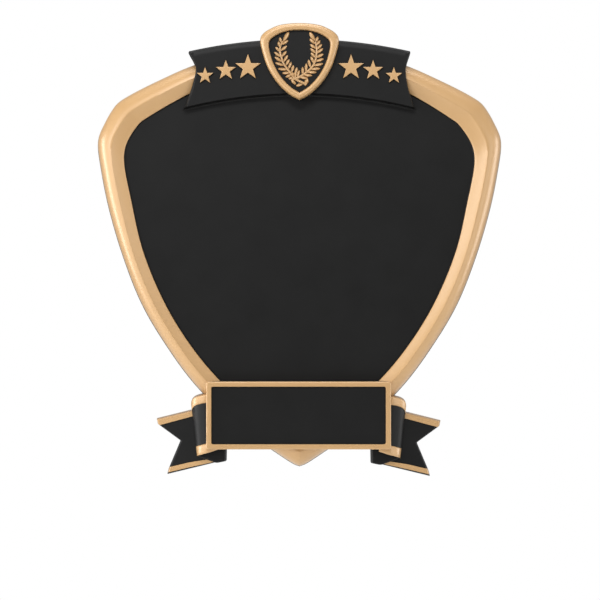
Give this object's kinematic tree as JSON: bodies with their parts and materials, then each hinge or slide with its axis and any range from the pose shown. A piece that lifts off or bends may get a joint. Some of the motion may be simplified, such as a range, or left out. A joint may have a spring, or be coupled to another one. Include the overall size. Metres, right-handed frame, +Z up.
{
  "type": "award shield",
  "caption": "Cast resin award shield for a wall: black field in a gold moulded frame, arched star banner, laurel crest, framed name panel and swallow-tailed ribbon.",
  "frame": {"origin": "on the flat back, on the shield's upright centre line, at half the plaque's height: the point of the wall face that the plaque hangs against", "axes": "+X to the viewer's right across the shield, +Y from the front into the wall, +Z up towards the crest"},
  "size_m": [0.183, 0.018, 0.2044],
  "materials": {
    "gold_paint": "satin",
    "black_paint": "satin"
  },
  "bodies": {
    "root": {"shield_plaque": "gold_paint"}
  },
  "joints": []
}
